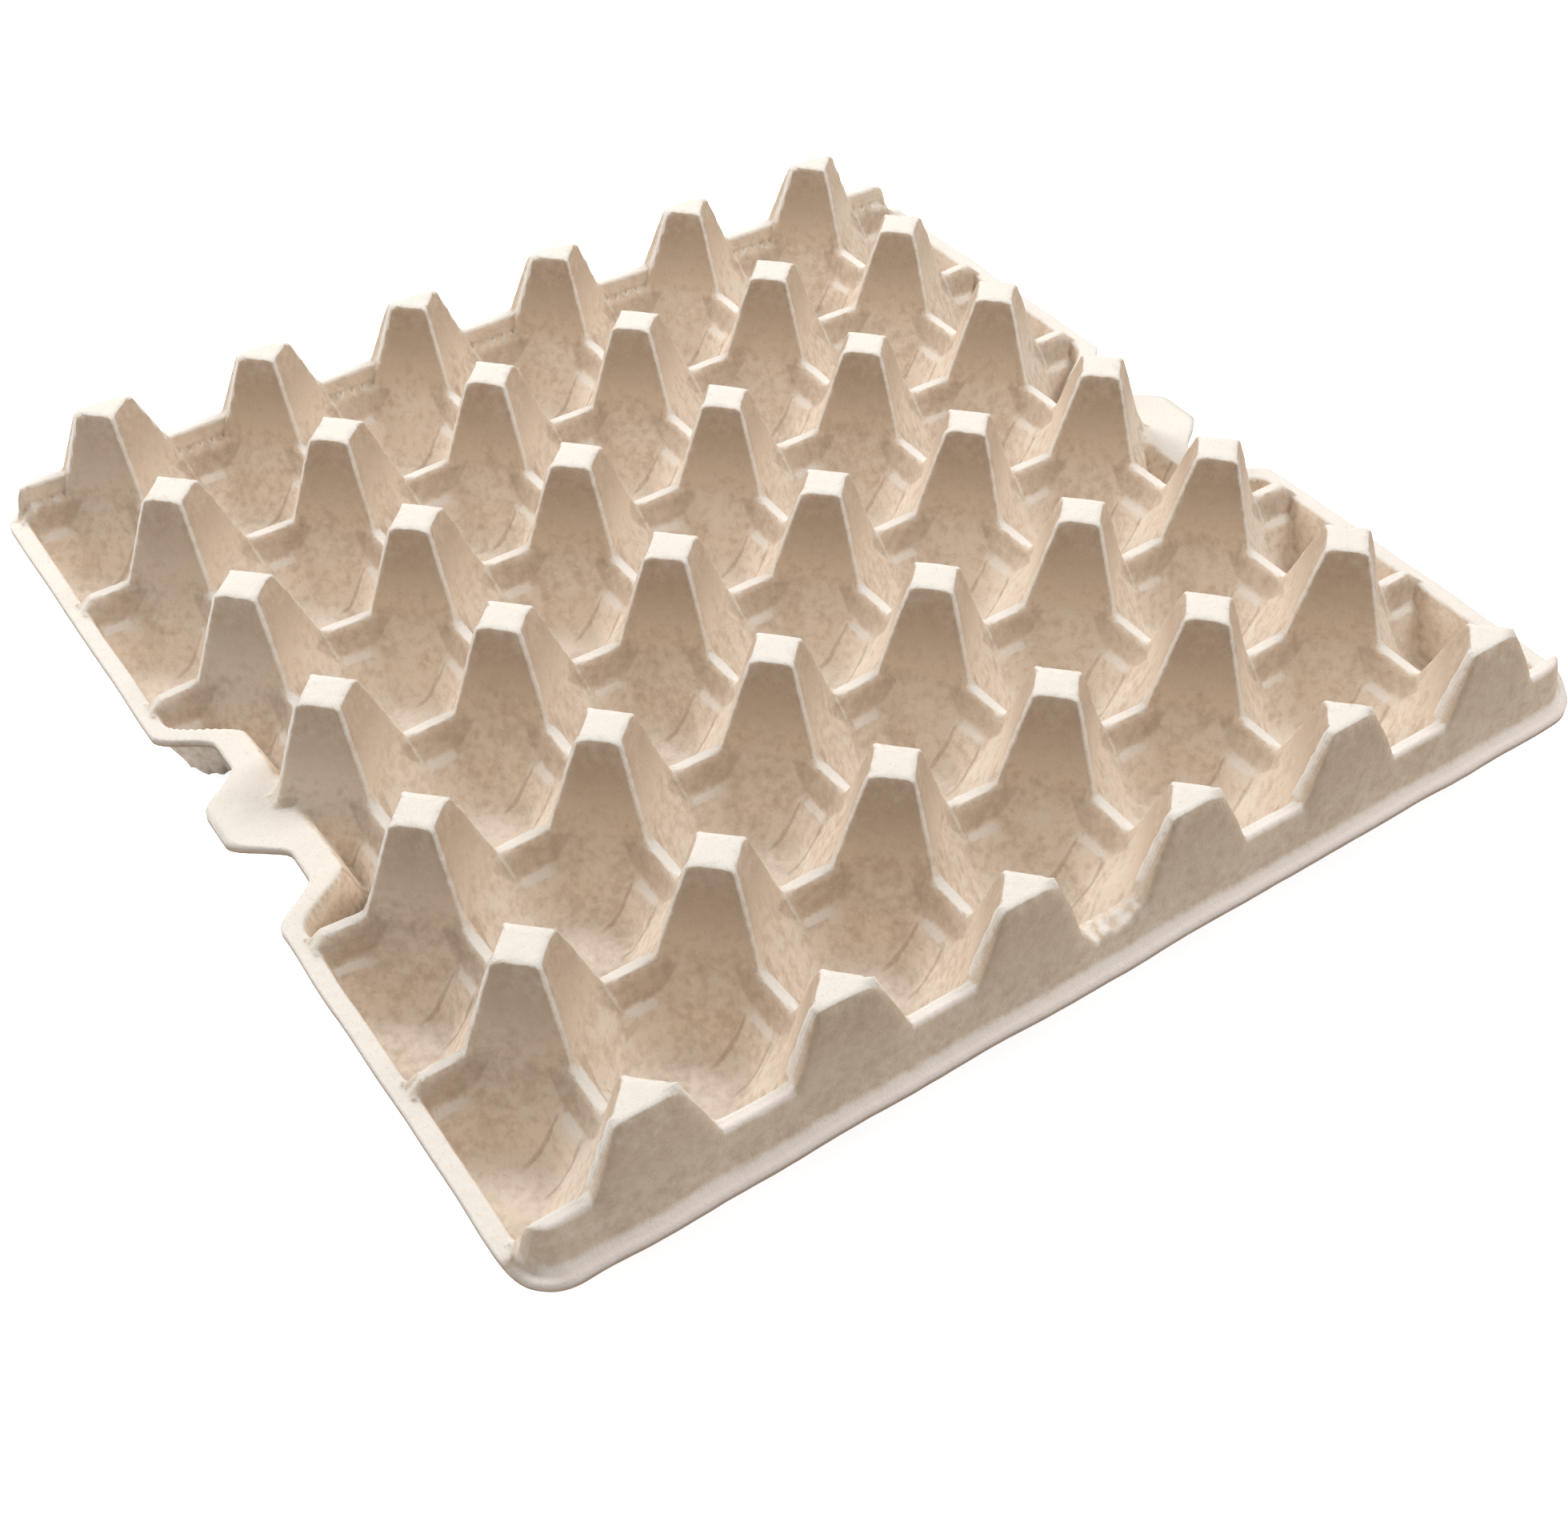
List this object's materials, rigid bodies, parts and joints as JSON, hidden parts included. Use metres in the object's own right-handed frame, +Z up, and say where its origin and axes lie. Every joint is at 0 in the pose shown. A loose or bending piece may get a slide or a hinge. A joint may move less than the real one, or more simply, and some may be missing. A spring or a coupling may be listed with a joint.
{
  "type": "pulp egg tray",
  "caption": "Square moulded pulp egg tray: rows of cups between hollow tapered posts, with a flanged rim and a grip tab on two sides.",
  "frame": {"origin": "middle of the tray in plan, on the plane of the undersides of the cups that it stands on", "axes": "+Z up, out of the cups; +X along the post rows towards one grip tab; +Y across the rows towards the side with cut half posts"},
  "size_m": [0.2992, 0.2992, 0.0455],
  "materials": {
    "pulp": "dry fibrous moulded pulp, matt, light grey-brown, faintly speckled"
  },
  "bodies": {
    "root": {"tray": "pulp"}
  },
  "joints": []
}
